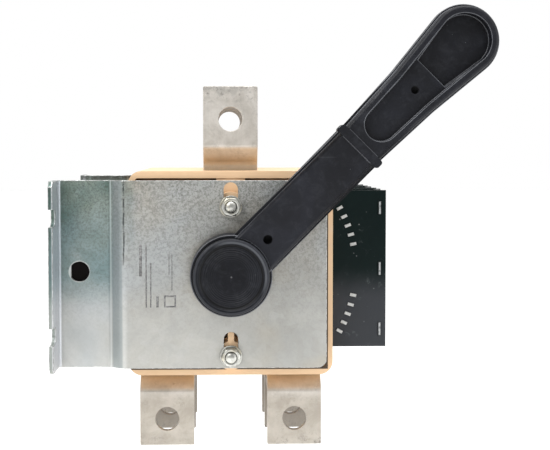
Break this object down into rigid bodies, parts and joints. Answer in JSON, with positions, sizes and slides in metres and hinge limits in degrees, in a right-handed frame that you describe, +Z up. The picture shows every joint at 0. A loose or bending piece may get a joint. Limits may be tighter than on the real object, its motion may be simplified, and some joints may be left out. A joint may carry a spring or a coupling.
{
  "type": "changeover switch disconnector",
  "caption": "Open knife-blade changeover switch disconnector: moulded poles between sheet brackets, arc chutes, tinned terminals and a side lever.",
  "frame": {"origin": "on the mounting plane, at the middle of the side brackets' height and midway between them", "axes": "-X into the panel, +X out of it towards the arc chutes, +Y from the lever side to the far bracket along the drive shaft, +Z up towards the single terminals"},
  "size_m": [0.197, 0.174, 0.2],
  "materials": {
    "galvanised_sheet": "galvanised, spangled, satin",
    "blackened_steel": "black oxide",
    "zinc_hardware": "bright zinc plate",
    "lever_plastic": "black moulding, satin",
    "cap_plastic": "black moulding, satin, with faint turned rings",
    "shaft_steel": "turned and milled",
    "bush_brass": "turned",
    "pole_moulding": "peach thermoset moulding, satin",
    "spacer_moulding": "peach thermoset moulding, satin",
    "tinned_copper": "tin plate over copper, dull, lightly marked",
    "rotor_plastic": "black thermoset",
    "plated_knife": "silver plate over copper",
    "spring_steel": "blued spring steel",
    "chute_fibre": "green-black vulcanised fibre, waxy",
    "splitter_steel": "zinc plated sheet"
  },
  "bodies": {
    "fixed_frame": {"near_bracket": "galvanised_sheet", "far_bracket": "galvanised_sheet", "rear_tie_strap": "blackened_steel", "upper_tie_stud": "zinc_hardware", "lower_tie_stud": "zinc_hardware", "stud_washers": "zinc_hardware", "stud_nuts": "zinc_hardware", "near_bush": "bush_brass", "far_bush": "bush_brass", "stud_spacers": "spacer_moulding", "front_shell_1": "pole_moulding", "back_shell_1": "pole_moulding", "top_terminal_1": "tinned_copper", "lower_front_terminal_1": "tinned_copper", "lower_rear_terminal_1": "tinned_copper", "chute_side_walls_1": "chute_fibre", "chute_front_wall_1": "chute_fibre", "splitter_plates_1": "splitter_steel", "front_shell_2": "pole_moulding", "back_shell_2": "pole_moulding", "top_terminal_2": "tinned_copper", "lower_front_terminal_2": "tinned_copper", "lower_rear_terminal_2": "tinned_copper", "chute_side_walls_2": "chute_fibre", "chute_front_wall_2": "chute_fibre", "splitter_plates_2": "splitter_steel", "front_shell_3": "pole_moulding", "back_shell_3": "pole_moulding", "top_terminal_3": "tinned_copper", "lower_front_terminal_3": "tinned_copper", "lower_rear_terminal_3": "tinned_copper", "chute_side_walls_3": "chute_fibre", "chute_front_wall_3": "chute_fibre", "splitter_plates_3": "splitter_steel"},
    "drive": {"lever": "lever_plastic", "hub_cap": "cap_plastic", "lever_washer": "zinc_hardware", "lever_screw": "zinc_hardware", "drive_shaft": "shaft_steel", "retaining_clip": "zinc_hardware", "rotor_1": "rotor_plastic", "rotor_collar_1": "rotor_plastic", "knife_pair_1": "plated_knife", "knife_rivet_1": "zinc_hardware", "knife_springs_1": "spring_steel", "rotor_2": "rotor_plastic", "rotor_collar_2": "rotor_plastic", "knife_pair_2": "plated_knife", "knife_rivet_2": "zinc_hardware", "knife_springs_2": "spring_steel", "rotor_3": "rotor_plastic", "rotor_collar_3": "rotor_plastic", "knife_pair_3": "plated_knife", "knife_rivet_3": "zinc_hardware", "knife_springs_3": "spring_steel"}
  },
  "joints": [
    {"name": "lever_turn", "type": "hinge", "parent": "fixed_frame", "child": "drive", "pos_m": [0.0795, 0, 0.0009], "axis": [0, 1, 0], "range_deg": [0, 90]}
  ]
}
